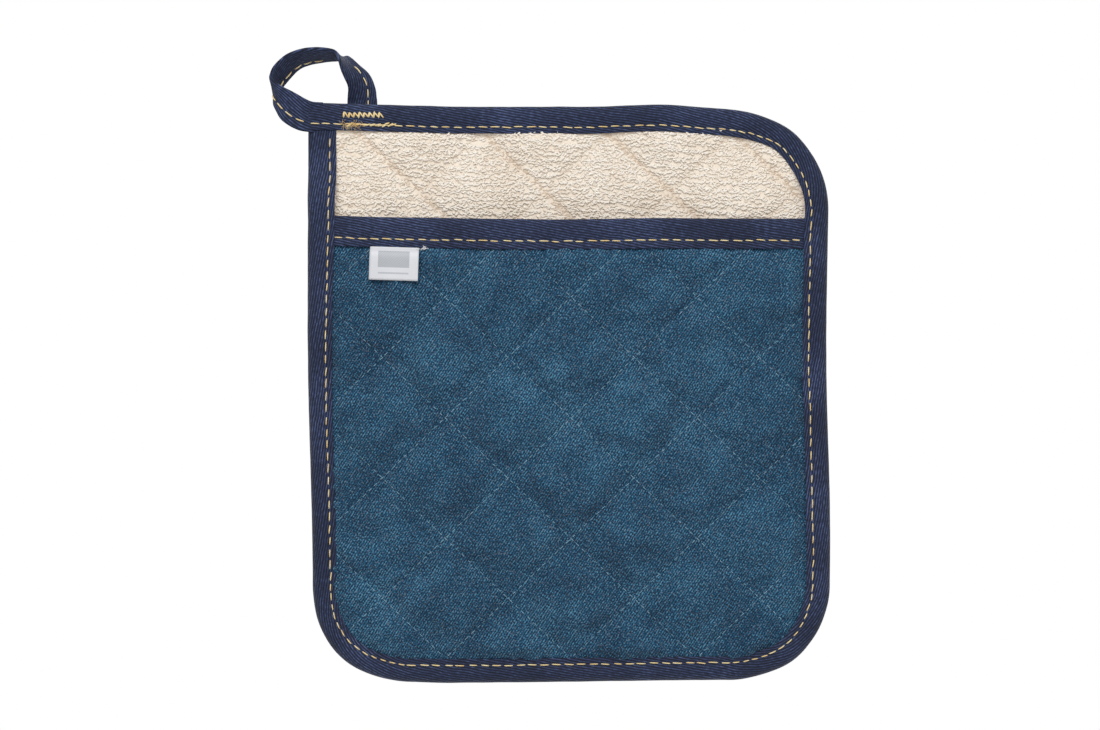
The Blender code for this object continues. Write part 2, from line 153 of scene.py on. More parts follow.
add_soft_light("key_light", (-0.1, -1.0, 0.85), 0.9, 14.0)
add_soft_light("fill_light", (1.1, -0.7, 0.1), 1.2, 2.0)
add_soft_light("back_light", (0.5, 1.1, 0.7), 0.9, 6.0)

room = bpy.data.worlds.new("white_room")
bpy.context.scene.world = room
room.use_nodes = True
room_tree = room.node_tree
seen = add_node(room_tree, "ShaderNodeLightPath").outputs["Is Camera Ray"]
room_light = add_node(room_tree, "ShaderNodeBackground", {"Color": (1, 1, 1, 1), "Strength": 0.42})
room_seen = add_node(room_tree, "ShaderNodeBackground", {"Color": (1, 1, 1, 1), "Strength": 1.0})
room_mix = add_node(room_tree, "ShaderNodeMixShader", {
    0: seen, 1: room_light.outputs[0], 2: room_seen.outputs[0],
})
room_out = room_tree.nodes["World Output"]
room_tree.links.new(room_mix.outputs[0], room_out.inputs["Surface"])

bpy.ops.mesh.primitive_circle_add(vertices=96, radius=floor_radius, fill_type="TRIFAN")
floor = bpy.context.object
floor.name = "floor"
floor.location = floor_centre
floor_look, tree, shader = new_material("pale_floor")
floor_place = object_place(tree)
floor_reach = add_node(tree, "ShaderNodeVectorMath", {0: floor_place}, operation="LENGTH").outputs["Value"]
floor_fade = add_node(tree, "ShaderNodeMapRange", {
    "Value": floor_reach, "From Min": floor_radius * 0.45, "From Max": floor_radius * 0.97,
    "To Min": 1.0, "To Max": 0.0,
}, interpolation_type="SMOOTHSTEP")
floor_white = ramp(tree, speckle(tree, floor_place, 30.0, 4.0), [
    (0.3, (0.80, 0.80, 0.79)), (0.7, (0.86, 0.86, 0.85)),
])
tree.links.new(floor_white, shader.inputs["Base Color"])
tree.links.new(floor_fade.outputs["Result"], shader.inputs["Alpha"])
shader.inputs["Roughness"].default_value = 0.7
floor.data.materials.append(floor_look)

# ----------------------------------------------------------
# Pocket panel. Blue twill denim over batting, quilted in diamonds to a terry lining, so that the
# denim puffs between its seams. Its edges are held in the tapes, and its mouth stands off the back.

MM = 0.001
tape_low, tape_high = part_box("edge_binding")
left = tape_low.x
right = tape_high.x
bottom = tape_low.z
top = tape_high.z
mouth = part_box("pocket_binding")[1].z
middle_x = (left + right) / 2
bottom_radius = 41.5 * MM
top_right_radius = 43.6 * MM
pocket_bow = 9.0 * MM
mouth_tape_width = 12.7 * MM
side_tape_width = 10.2 * MM
held_thickness = 4.45 * MM
loft = 2.6 * MM
diamond_x = 26.0 * MM
diamond_z = 24.9 * MM
pocket_knot = (102.0 * MM, -147.7 * MM)
cells_per_step = 18
denim_thickness = 0.7 * MM
raw_edge = 6 * MM
quilting_end = 11 * MM
loft_run = 7 * MM
puff_roundness = 2.4
batting_lift = 6.0
most_shift = 1.8 * MM
twill_pitch = 0.98 * MM
twill_slope = math.radians(57)


def smooth(share):
    share = np.clip(share, 0.0, 1.0)
    return share * share * (3 - 2 * share)


def inside_edge(x, z):
    """How far inside the bound edge a point lies, round the three curved corners."""
    edge = np.minimum(np.minimum(x - left, right - x), np.minimum(z - bottom, top - z))
    corners = (
        (left + bottom_radius, bottom + bottom_radius, bottom_radius, -1, -1),
        (right - bottom_radius, bottom + bottom_radius, bottom_radius, 1, -1),
        (right - top_right_radius, top - top_right_radius, top_right_radius, 1, 1),
    )
    for centre_x, centre_z, radius, way_x, way_z in corners:
        past_x = (x - centre_x) * way_x
        past_z = (z - centre_z) * way_z
        curved = radius - np.hypot(past_x, past_z)
        edge = np.where((past_x > 0) & (past_z > 0), curved, edge)
    return edge


def bow(x, z):
    """How far the pocket panel stands off the back: most at the middle of its mouth."""
    across = (x - middle_x) / ((right - left) / 2 - mouth_tape_width)
    down = np.clip((mouth - z) / (mouth - bottom - mouth_tape_width), 0.0, 1.0)
    rise = np.maximum(0.0, 1 - across * across) * (1 - down ** 3)
    return pocket_bow * rise ** 1.5


def to_seam(x, z, knot):
    """Shares of the way from the two nearest quilting seams to the middle of the diamond."""
    u = (x - knot[0]) / diamond_x
    w = (z - knot[1]) / diamond_z
    return 1 - np.abs((u + w) % 2 - 1), 1 - np.abs((u - w) % 2 - 1)


def pillow(x, z, knot):
    """Height of the puffed diamonds, from 0 on a seam to 1 at a diamond's middle."""
    rising, falling = to_seam(x, z, knot)
    return (1 - (1 - rising) ** puff_roundness) * (1 - (1 - falling) ** puff_roundness)


def from_tape(x, z):
    """How far a panel has risen from the edge tape to its full thickness, from 0 to 1."""
    return smooth((inside_edge(x, z) - side_tape_width + 1 * MM) / loft_run)


def pocket_face(x, z):
    """Y of the pocket panel's denim before it puffs."""
    under_mouth = smooth((mouth - mouth_tape_width + 1 * MM - z) / loft_run)
    return -(held_thickness + loft * from_tape(x, z) * under_mouth) - bow(x, z)


def back_face(x, z):
    """Y of the back panel's denim before it puffs."""
    return held_thickness + loft * from_tape(x, z)


def add_mesh(name, points, faces, material, body=None, tape_run=None):
    """A smooth mesh that rides on a body. tape_run gives each point's place along and across a tape."""
    mesh = bpy.data.meshes.new(name)
    mesh.from_pydata(np.asarray(points).reshape(-1, 3).tolist(), [], [list(face) for face in faces])
    mesh.update()
    mesh.shade_smooth()
    piece = bpy.data.objects.new(name, mesh)
    bpy.context.scene.collection.objects.link(piece)
    mesh.materials.append(material)
    if tape_run is not None:
        attribute = mesh.attributes.new("tape_run", "FLOAT_VECTOR", "POINT")
        attribute.data.foreach_set("vector", np.asarray(tape_run, np.float32).ravel())
    if body is not None:
        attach(piece, body)
    return piece


def panel_grid(knot, keeps, height, facing):
    """A cloth grid laid along the quilting, so that each seam runs through its corners."""
    step_x = diamond_x / cells_per_step
    step_z = diamond_z / cells_per_step
    columns = np.arange(math.floor((left - knot[0]) / step_x), math.ceil((right - knot[0]) / step_x) + 1)
    rows = np.arange(math.floor((bottom - knot[1]) / step_z), math.ceil((top - knot[1]) / step_z) + 1)
    x, z = np.meshgrid(knot[0] + columns * step_x, knot[1] + rows * step_z)
    kept = keeps(x, z)
    number = np.where(kept, np.cumsum(kept).reshape(kept.shape) - 1, -1)
    corners = np.stack([number[:-1, :-1], number[:-1, 1:], number[1:, 1:], number[1:, :-1]], axis=-1)
    faces = corners[(corners >= 0).all(axis=-1)]
    if facing > 0:
        faces = faces[:, ::-1]
    x = x[kept]
    z = z[kept]
    return np.stack([x, height(x, z), z], axis=-1), faces


def thicken(cloth, thickness):
    shell = cloth.modifiers.new("cloth_thickness", "SOLIDIFY")
    shell.thickness = thickness
    shell.offset = -1.0


def puff(panel, held):
    """Lets the batting lift the cloth between its seams, as a short cloth simulation."""
    rest = np.array([v.co for v in panel.data.vertices])
    pins = panel.vertex_groups.new(name="held")
    pins.add([int(i) for i in np.nonzero(held)[0]], 1.0, "ADD")
    cloth = panel.modifiers.new("puff", "CLOTH")
    settings = {
        "quality": 4, "mass": 0.05, "tension_stiffness": 12.0, "compression_stiffness": 12.0,
        "shear_stiffness": 6.0, "bending_stiffness": 0.3, "shrink_min": -0.035, "use_pressure": True,
        "uniform_pressure_force": batting_lift, "vertex_group_mass": "held",
    }
    for name, value in settings.items():
        setattr(cloth.settings, name, value)
    cloth.settings.effector_weights.gravity = 0.0
    cloth.collision_settings.use_collision = False
    cloth.point_cache.frame_start = 1
    cloth.point_cache.frame_end = 14
    for step in range(1, 15):
        bpy.context.scene.frame_set(step)
    shown = panel.evaluated_get(bpy.context.evaluated_depsgraph_get())
    moved = np.array([v.co for v in shown.data.vertices])
    panel.modifiers.remove(cloth)
    bpy.context.scene.frame_set(1)
    shift = np.clip(moved - rest, -most_shift, most_shift)
    panel.data.vertices.foreach_set("co", (rest + shift).astype(np.float32).ravel())
    panel.data.update()


def times(tree, first, second):
    return calc(tree, "MULTIPLY", first, second)


def plus(tree, first, second):
    return calc(tree, "ADD", first, second)


def wave(tree, share):
    """Ridges, one for every whole step of a share."""
    return calc(tree, "SINE", times(tree, share, 2 * math.pi))


def blend_tones(tree, *tones):
    """Adds up tones, each a value with its gain and its offset."""
    total = 0.0
    for value, gain, offset in tones:
        total = plus(tree, total, calc(tree, "MULTIPLY_ADD", value, gain, offset))
    return total


def split(tree, vector):
    return add_node(tree, "ShaderNodeSeparateXYZ", {0: vector}).outputs[:3]


def dress(tree, shader, colour, height, strength, depth, sockets, normal=None):
    """Gives a shader its colour, its raised weave, and the finish that is the same all over."""
    tree.links.new(colour, shader.inputs["Base Color"])
    inputs = {"Height": height, "Strength": strength, "Distance": depth}
    if normal is not None:
        inputs["Normal"] = normal
    bump = add_node(tree, "ShaderNodeBump", inputs)
    tree.links.new(bump.outputs[0], shader.inputs["Normal"])
    for name, value in sockets.items():
        shader.inputs[name].default_value = value


def make_denim():
    """Twill denim: slanting ridges of dark and pale yarn, broken up, mottled and flecked with lint."""
    material, tree, shader = new_material("blue_denim")
    place = object_place(tree)
    x, y, z = split(tree, place)
    sine = math.sin(twill_slope)
    cosine = math.cos(twill_slope)
    across = calc(tree, "SUBTRACT", times(tree, z, cosine), times(tree, x, sine))
    along = plus(tree, times(tree, x, cosine), times(tree, z, sine))
    sway = times(tree, speckle(tree, place, 240.0, 2.0), 0.6)
    ridge = plus(tree, calc(tree, "DIVIDE", across, twill_pitch), sway)
    stripe = wave(tree, ridge)
    yarn_place = add_node(tree, "ShaderNodeCombineXYZ", {
        "X": ridge, "Y": calc(tree, "DIVIDE", along, 1.0 * MM), "Z": y,
    }).outputs[0]
    yarn = speckle(tree, yarn_place, 1.35, 2.0)
    mottle = speckle(tree, place, 95.0, 3.0)
    cloud = speckle(tree, place, 22.0, 2.0)
    tone = blend_tones(tree, (stripe, 0.24, 0.47), (yarn, 2.3, -1.15), (mottle, 0.5, -0.25),
                       (cloud, 0.3, -0.15))
    blue = ramp(tree, tone, [
        (0.0, (0.002, 0.012, 0.028)), (0.35, (0.004, 0.035, 0.079)),
        (0.65, (0.011, 0.074, 0.149)), (1.0, (0.090, 0.255, 0.380)),
    ])
    lint = times(tree, calc(tree, "SUBTRACT", speckle(tree, place, 2100.0, 1.0), 0.61), 7.0)
    lint_share = add_node(tree, "ShaderNodeClamp", {0: lint, "Max": 0.42}).outputs[0]
    colour = add_node(tree, "ShaderNodeMix", {"Factor": lint_share, 6: blue, 7: (0.25, 0.26, 0.30, 1)},
                      data_type="RGBA").outputs[2]
    dress(tree, shader, colour, plus(tree, times(tree, stripe, 0.35), yarn), 0.45, 0.25 * MM, {
        "Roughness": 0.88, "Sheen Weight": 0.12, "Sheen Roughness": 0.5, "Specular IOR Level": 0.25,
    })
    return material


def pleats(x, z, knot):
    """Small wrinkles that run out from the seams, where each stitch draws the cloth in."""
    rising, falling = to_seam(x, z, knot)
    size = np.array([noise.noise((a * 210, 3.1, b * 210)) for a, b in zip(x, z)])
    broad = np.array([noise.noise((a * 75, 8.7, b * 75)) for a, b in zip(x, z)])
    close = np.exp(-np.minimum(rising, falling) / 0.22)
    return size * close * 0.50 * MM + broad * 0.45 * MM


def add_quilted_denim(name, knot, keeps, face, facing):
    """One denim panel, puffed between its quilting seams and its bound edges."""
    def seamed(x, z):
        depth = pillow(x, z, knot)
        room = smooth((inside_edge(x, z) - side_tape_width) / (4 * MM))
        if facing < 0:
            room = room * smooth((mouth - mouth_tape_width - z) / (4 * MM))
        return face(x, z) + facing * room * ((2.8 * depth - 1.4) * MM + pleats(x, z, knot))

    points, faces = panel_grid(knot, keeps, seamed, facing)
    panel = add_mesh(name, points, faces, denim)
    rising, falling = to_seam(points[:, 0], points[:, 2], knot)
    under_tape = inside_edge(points[:, 0], points[:, 2]) < side_tape_width + 0.5 * MM
    held = (np.minimum(rising, falling) < 0.03) | under_tape
    if facing < 0:
        held |= points[:, 2] > mouth - mouth_tape_width - 0.5 * MM
    puff(panel, held)
    thicken(panel, denim_thickness)
    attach(panel, "mitt")
    return panel


denim = make_denim()
pocket_denim = add_quilted_denim(
    "pocket_denim", pocket_knot,
    lambda x, z: (inside_edge(x, z) > raw_edge) & (z < mouth - 5 * MM), pocket_face, -1,
)
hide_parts("front_denim", "front_batting")

# ----------------------------------------------------------
# Quilting thread. Fine pale blue thread in a running stitch, sewn along both slants of the diamonds
# and drawn down into the denim. It shows best on the seams that fall to the right.

quilt_stitch = 2.0 * MM
quilt_pitch = 3.4 * MM
quilt_thread = 0.14 * MM
chance = random.Random(7)


def add_threads(name, lines, radii, sides, material, up=(0.0, -1.0, 0.0), shades=None, body="mitt"):
    """Round threads as one mesh: lines is (threads, points, 3) and radii (threads, points)."""
    lines = np.asarray(lines, float)
    radii = np.broadcast_to(np.asarray(radii, float), lines.shape[:2])
    count, length = lines.shape[:2]
    tangent = np.gradient(lines, axis=1)
    tangent /= np.linalg.norm(tangent, axis=2, keepdims=True) + 1e-12
    side = np.cross(tangent, np.asarray(up, float))
    side /= np.linalg.norm(side, axis=2, keepdims=True) + 1e-12
    rise = np.cross(side, tangent)
    turns = np.arange(sides) * 2 * np.pi / sides
    ring = np.cos(turns)[:, None] * side[:, :, None] + np.sin(turns)[:, None] * rise[:, :, None]
    points = lines[:, :, None] + radii[:, :, None, None] * ring
    number = np.arange(count * length * sides).reshape(count, length, sides)
    beside = np.roll(number, -1, axis=2)
    walls = np.stack([number[:, :-1], number[:, 1:], beside[:, 1:], beside[:, :-1]], axis=-1)
    faces = walls.reshape(-1, 4).tolist()
    faces += number[:, 0].tolist()
    faces += number[:, -1, ::-1].tolist()
    along = np.cumsum(np.linalg.norm(np.diff(lines, axis=1, prepend=lines[:, :1]), axis=2), axis=1)
    run = np.zeros(points.shape)
    run[..., 0] = along[:, :, None]
    run[..., 1] = turns[None, None, :] / (2 * np.pi)
    run[..., 2] = 0.5 if shades is None else np.asarray(shades).reshape(count, -1)[:, :, None]
    return add_mesh(name, points, faces, material, body, run.reshape(-1, 3))


def read_run(tree):
    """Each point's place along and across its tape or thread, and its shade."""
    return add_node(tree, "ShaderNodeAttribute", attribute_name="tape_run").outputs["Vector"]


def make_thread(name, dark, pale, roughness):
    """Twisted thread: pale and dark plies that wind round each other."""
    material, tree, shader = new_material(name)
    along, turn, shade = split(tree, read_run(tree))
    twist = plus(tree, calc(tree, "DIVIDE", along, 0.9 * MM), turn)
    ply = calc(tree, "SINE", times(tree, twist, 4 * math.pi))
    wear = speckle(tree, object_place(tree), 260.0, 2.0)
    tone = blend_tones(tree, (ply, 0.22, 0.05), (wear, 0.9, 0.0))
    dress(tree, shader, ramp(tree, tone, [(0.15, dark), (0.85, pale)]), ply, 0.5, 0.1 * MM, {
        "Roughness": roughness, "Specular IOR Level": 0.4,
    })
    return material


def surface_reader(panel):
    """Y of a puffed panel at any place, read from its own grid of corners."""
    points = np.array([v.co for v in panel.data.vertices])
    cell_x = diamond_x / cells_per_step
    cell_z = diamond_z / cells_per_step
    start = points.min(0)
    table = {}
    for x, y, z in points:
        table[round((x - start[0]) / cell_x), round((z - start[2]) / cell_z)] = y

    def read(x, z):
        column = (x - start[0]) / cell_x
        row = (z - start[2]) / cell_z
        i = math.floor(column)
        j = math.floor(row)
        a, b, c, d = (table.get((i + p, j + q)) for p, q in ((0, 0), (1, 0), (0, 1), (1, 1)))
        if None in (a, b, c, d):
            return None
        u = column - i
        w = row - j
        return a * (1 - u) * (1 - w) + b * u * (1 - w) + c * (1 - u) * w + d * u * w

    return read


def quilting_lines(panel, knot, shows, facing):
    """Short stitches along every quilting seam of a panel."""
    read = surface_reader(panel)
    length = math.hypot(diamond_x, diamond_z)
    lines = []
    for slant, sunk in ((1, 0.26 * MM), (-1, 0.12 * MM)):
        along = (diamond_x / length, slant * diamond_z / length)
        for seam in range(-13, 14, 2):
            anchor = (knot[0] + seam * diamond_x, knot[1])
            for k in range(-110, 110):
                shift = k * quilt_pitch + chance.uniform(-0.25, 0.25) * MM
                first = [anchor[0] + shift * along[0], anchor[1] + shift * along[1]]
                last = [first[0] + quilt_stitch * along[0], first[1] + quilt_stitch * along[1]]
                if not (shows(*first) and shows(*last)):
                    continue
                row = []
                for share in np.linspace(0, 1, 5):
                    x = first[0] + (last[0] - first[0]) * share
                    z = first[1] + (last[1] - first[1]) * share
                    y = read(x, z)
                    if y is None:
                        break
                    arch = math.sin(math.pi * share) * 0.30 * MM - sunk
                    row.append((x, y + facing * arch, z))
                if len(row) == 5:
                    lines.append(row)
    return lines


def add_quilting(name, panel, knot, shows, facing):
    lines = quilting_lines(panel, (knot[0] + diamond_x, knot[1]), shows, facing)
    thread = add_threads(name, lines, quilt_thread, 5, quilt_blue, (0.0, facing, 0.0))
    return thread


quilt_blue = make_thread("pale_blue_thread", (0.12, 0.27, 0.38), (0.40, 0.62, 0.74), 0.6)
pocket_quilting = add_quilting(
    "pocket_quilting_thread", pocket_denim, pocket_knot,
    lambda x, z: inside_edge(x, z) > quilting_end and z < mouth - 13 * MM, -1,
)
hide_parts("front_quilting_thread")

# ----------------------------------------------------------
# Back panel. Terry faces the hand, with its loops standing in wavy rows, and denim faces out behind.
# Batting lies between them, and one set of diamond seams quilts all three together.

back_knot = (39.1 * MM, -54.0 * MM)
terry_face = 0.15 * MM
row_pitch = 3.1 * MM
loop_pitch = 0.36 * MM
loop_height = 0.75 * MM
loop_width = 1.4 * MM
loop_yarn = 0.40 * MM
most_aside = 0.85
terry_thickness = 1.0 * MM
pile_left = left + 9.3 * MM
pile_right = right - 9.3 * MM


def make_terry(name, shadow, middle, pale):
    """Cotton terry: cream yarn, with painted shade down between its loops and a faint warm painted glow that
    lifts its shadows; its shading normals lean to the front, evening out the light.
    """
    material, tree, shader = new_material(name)
    place = object_place(tree)
    shade = split(tree, read_run(tree))[2]
    grain = speckle(tree, place, 900.0, 2.0)
    cloud = speckle(tree, place, 60.0, 3.0)
    tone = blend_tones(tree, (shade, 1.0, 0.0), (grain, 0.5, -0.25), (cloud, 0.6, -0.3))
    colour = ramp(tree, tone, [(0.0, shadow), (0.45, middle), (0.9, pale)])
    own_normal = add_node(tree, "ShaderNodeNewGeometry").outputs["Normal"]
    fuzz_normal = add_node(tree, "ShaderNodeVectorMath", {
        0: own_normal, 1: (0.28, 0.28, 0.28), 2: (0.0, -0.72, 0.0),
    }, operation="MULTIPLY_ADD").outputs[0]
    fuzz_normal = add_node(tree, "ShaderNodeVectorMath", {0: fuzz_normal}, operation="NORMALIZE").outputs[0]
    # The warm emission below is a painted glow: the terry gives off a little light of its own, which lifts
    # its shadows.
    dress(tree, shader, colour, grain, 0.3, 0.2 * MM, {
        "Roughness": 0.95, "Emission Color": (0.95, 0.74, 0.55, 1), "Emission Strength": 0.13,
        "Sheen Weight": 0.25, "Sheen Roughness": 0.6, "Specular IOR Level": 0.15,
    }, fuzz_normal)
    return material


def terry_base(x, z):
    """Y of the terry's ground cloth: puffed a little towards the hand between the seams."""
    room = smooth((inside_edge(x, z) - 9 * MM) / (5 * MM))
    return terry_face - (1.9 * pillow(x, z, back_knot) - 0.3) * MM * room


def terry_loops(rows, first_x, last_x, start_z, base, shows, facing):
    """Loops in wavy rows, each an arch of yarn that leans over at random, and their shades, with painted
    shade at each loop's foot, along the row borders and along the seams.
    """
    lines = []
    shades = []
    chance = random.Random(11)
    for row in rows:
        for i in range(int((last_x - first_x) / loop_pitch)):
            x = first_x + i * loop_pitch + chance.uniform(-0.3, 0.3) * MM
            sway = 0.45 * math.sin(x / (7.3 * MM) + row * 0.45)
            sway += 0.25 * math.sin(x / (3.1 * MM) + row * 1.7) + 0.8 * math.sin(x / (19 * MM) + row * 0.15)
            aside = chance.uniform(-most_aside, most_aside)
            z = start_z - row * row_pitch + (sway + 1.6 * aside) * MM
            if not shows(x, z):
                continue
            dent = (aside / most_aside) ** 4
            turn = chance.gauss(0, 0.5)
            width = loop_width * chance.uniform(0.7, 1.25)
            height = loop_height * chance.uniform(0.75, 1.15) * (1 - 0.35 * dent)
            lean_x = chance.gauss(0, 0.4)
            lean_z = chance.gauss(-0.2, 0.45)
            falls, rises = to_seam(x, z, back_knot)
            drawn_in = math.exp(-(falls / 0.065) ** 2) + 0.4 * math.exp(-(rises / 0.05) ** 2)
            height *= 1 - 0.75 * min(drawn_in, 1.0)
            if inside_edge(x, z) < 12.3 * MM:
                height *= 2.2 if chance.random() < 0.03 else 1.0
            y = float(base(x, z))
            line = []
            for k in range(6):
                bend = math.pi * k / 5
                reach = math.sin(bend) * height
                slide = math.cos(bend) * width / 2
                line.append((
                    x + slide * math.cos(turn) + reach * lean_x,
                    y + facing * (reach - 0.3 * MM),
                    z + slide * math.sin(turn) + reach * lean_z,
                ))
            lines.append(line)
            # Each loop's tone is a random part minus painted shade at the row borders and along the quilting
            # seams, where the loops sink and shade falls.
            own = chance.uniform(-0.06, 0.10) - 0.36 * dent - 0.85 * min(drawn_in, 1.0)
            # Painted shade darkens each loop towards its foot, where it sinks among the others; its crest is
            # left paler.
            shades.append([0.45 + own, 0.6 + own, 0.8 + own, 0.8 + own, 0.6 + own, 0.45 + own])
    return lines, shades


cream_terry = make_terry("cream_terry", (0.52, 0.41, 0.31), (0.76, 0.68, 0.58), (0.86, 0.82, 0.75))


def add_terry_cloth(name, knot, keeps, base, facing, shade, stands_for):
    """A terry ground cloth, which its pile stands on."""
    points, faces = panel_grid(knot, keeps, base, facing)
    run = np.zeros(points.shape)
    # The ground's tone is a painted shade: darker than the loops' crests, as the cloth lies in shade down
    # among them.
    run[:, 2] = shade
    cloth = add_mesh(name, points, faces, cream_terry, "mitt", run)
    thicken(cloth, terry_thickness)
    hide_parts(stands_for)


def add_pile(name, rows, start_z, base, shows, facing=-1, inset=0.0):
    """Rows of loops on a terry ground cloth."""
    lines, shades = terry_loops(rows, pile_left + inset, pile_right - inset, start_z, base, shows, facing)
    pile = add_threads(name, lines, loop_yarn, 4, cream_terry, (0.0, 0.0, 1.0), shades)


add_terry_cloth(
    "back_terry_ground", back_knot, lambda x, z: inside_edge(x, z) > raw_edge, terry_base, -1,
    0.45, "back_terry",
)
for name, rows in (("back_terry_pile_upper", range(0, 6)), ("back_terry_pile_lower", range(6, 13))):
    add_pile(
        name, rows, top - 10 * MM, terry_base,
        lambda x, z: inside_edge(x, z) > 10.3 * MM and z > mouth - 3 * MM,
    )
add_pile(
    "back_terry_pile_in_pocket", range(7), mouth - 4 * MM, terry_base,
    lambda x, z: inside_edge(x, z) > 11 * MM,
)

back_denim = add_quilted_denim(
    "back_denim_panel", back_knot, lambda x, z: inside_edge(x, z) > raw_edge, back_face, 1,
)
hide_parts("back_denim", "back_batting")
add_quilting(
    "back_quilting_thread", back_denim, back_knot, lambda x, z: inside_edge(x, z) > quilting_end, 1,
)

# ----------------------------------------------------------
# Pocket lining. The same cream terry lines the pocket panel, facing the back panel, and shows only
# when one looks down into the mouth.


def lining_base(x, z):
    return -1.0 * MM - bow(x, z)


# The lining's ground gets a darker painted shade, 0.3, than the back's.
add_terry_cloth(
    "pocket_lining", pocket_knot, lambda x, z: (inside_edge(x, z) > 7 * MM) & (z < mouth - 3 * MM),
    lining_base, 1, 0.3, "front_terry",
)
add_pile(
    "pocket_lining_pile", range(4), mouth - mouth_tape_width - 1 * MM, lining_base,
    lambda x, z: True, 1, 4 * MM,
)

# ----------------------------------------------------------
# Edge binding. Navy cotton twill tape, folded in half over the raw edges and closed by one row of
# topstitching. It runs clockwise from the top left corner and its far end is tucked in under there.

top_tape_width = 11.4 * MM
seam_from_edge = 2.6 * MM
tape_thickness = 0.9 * MM
station_step = 1.5 * MM
fold_reach = 4.6 * MM
rib_pitch = 1.05 * MM
rib_drift = math.radians(10.5)
back_of_tape = tape_high.y
front_of_tape = tape_low.y
front_at_top = -1.1 * MM
stitch_pitch = 5.0 * MM
tucked_end = 6.5 * MM
hole_phase = 0.85
tape_crown = 0.22 * MM
fold_roundness = 2.2

edge_spans = [
    ("straight", (left, top), (1, 0), right - top_right_radius - left),
    ("curve", (right - top_right_radius, top - top_right_radius), 90, top_right_radius),
    ("straight", (right, top - top_right_radius), (0, -1), top - top_right_radius - bottom - bottom_radius),
    ("curve", (right - bottom_radius, bottom + bottom_radius), 0, bottom_radius),
    ("straight", (right - bottom_radius, bottom), (-1, 0), right - left - 2 * bottom_radius),
    ("curve", (left + bottom_radius, bottom + bottom_radius), -90, bottom_radius),
    ("straight", (left, bottom + bottom_radius), (0, 1), top - tucked_end - bottom - bottom_radius),
]
span_lengths = [span[3] * (math.pi / 2 if span[0] == "curve" else 1) for span in edge_spans]
edge_length = sum(span_lengths)


def edge_point(run):
    """Point on the outer edge and the direction into the body, a run clockwise from the top left."""
    last = len(edge_spans) - 1
    for i, (kind, place, way, size) in enumerate(edge_spans):
        if run <= span_lengths[i] or i == last:
            break
        run -= span_lengths[i]
    if kind == "straight":
        return (place[0] + way[0] * run, place[1] + way[1] * run), (way[1], -way[0])
    angle = math.radians(way) - run / size
    out = (math.cos(angle), math.sin(angle))
    return (place[0] + size * out[0], place[1] + size * out[1]), (-out[0], -out[1])


# Where the hand-guided edge bulges out of its line or falls inside it, in millimetres along and out
edge_bulges = (
    (0, 1.4), (70, -0.1), (115, -0.1), (145, 0.8), (180, -1.2), (208, 0.3), (300, -0.9), (375, 0.7),
    (425, 0.3), (452, -1.6), (580, -0.4), (602, -1.0), (625, -0.1), (658, -1.7), (765, 0.4), (850, 0.3),
)


def edge_wander(run):
    """How far the edge wanders outwards, a run clockwise from the top left."""
    places = [place * MM for place, out in edge_bulges]
    after = min(max(sum(place <= run for place in places), 1), len(places) - 1)
    share = (run - places[after - 1]) / (places[after] - places[after - 1])
    low = edge_bulges[after - 1][1]
    high = edge_bulges[after][1]
    wander = low + (high - low) * float(smooth(share))
    return wander * MM + 0.15 * MM * noise.noise((run / 0.011, 5.0, 0.0))


def tape_width(run):
    """The folded tape's width, which varies a little as it is fed by hand."""
    past_top = smooth((run - span_lengths[0]) / span_lengths[1])
    near_start = smooth((run - edge_length + 0.12) / 0.12)
    wide = top_tape_width + (side_tape_width - top_tape_width) * (past_top - 1.4 * near_start)
    return float(wide + 0.30 * MM * noise.noise((run / 0.021, 9.0, 0.0)))


def tape_front(run, z):
    """Y of the tape's front face: over both panels below the mouth, over the back one above it."""
    above = float(smooth((z - mouth - 6 * MM) / (22 * MM)))
    face = front_of_tape + (front_at_top - front_of_tape) * above
    corner = 1 - float(smooth((run - 6 * MM) / (9 * MM)))
    end = 1 - float(smooth(run / (2.5 * MM)))
    return face - 0.55 * MM * corner + 0.8 * MM * end


def pulled_in(run, inset, seam, depth):
    """How far the stitches pull a tape in along their seam, and how near a needle hole a place is."""
    hole = 0.5 + 0.5 * math.cos(2 * math.pi * ((run / stitch_pitch) % 1.0 - hole_phase))
    return math.exp(-((inset - seam) / (0.9 * MM)) ** 2) * (depth + 0.22 * hole) * MM, hole


def rippled(run, inset, seed, height):
    """Small puckers and longer ripples in a tape's face."""
    pucker = 0.16 * MM * noise.noise((run / (4.2 * MM), inset / (5 * MM), seed))
    return pucker + height * noise.noise((run / (17 * MM), inset / (9 * MM), seed + 2.0))


def tape_swell(run, inset, width):
    """How the face swells between its folded edge and the seam, and dips along the stitches."""
    seam = width - seam_from_edge
    dip, hole = pulled_in(run, inset, seam, 0.26)
    crown = tape_crown * math.sin(math.pi * min(inset / seam, 1.0))
    lip = 0.10 * MM * math.exp(-((inset - width + 0.9 * MM) / (0.7 * MM)) ** 2) * (1 - hole)
    return crown + lip - dip + rippled(run, inset, 2.0, 0.22 * MM)


def fold_height(share):
    """How quickly the folded tape rounds out from its edge to its full thickness."""
    return (1 - (1 - min(share, 1.0)) ** fold_roundness) ** (1 / fold_roundness)


def tape_place(run, inset, side):
    """A point on the edge tape's front (-1) or back (1) face."""
    (x, z), inward = edge_point(run)
    front = tape_front(run, z)
    middle = (front + back_of_tape) / 2
    half = (back_of_tape - front) / 2
    width = tape_width(run)
    height = half * fold_height(inset / fold_reach)
    height += tape_swell(run + (0 if side < 0 else 0.21), inset, width) * min(1.0, inset / (2 * MM))
    shift = inset - edge_wander(run)
    return (x + inward[0] * shift, middle + side * height, z + inward[1] * shift)


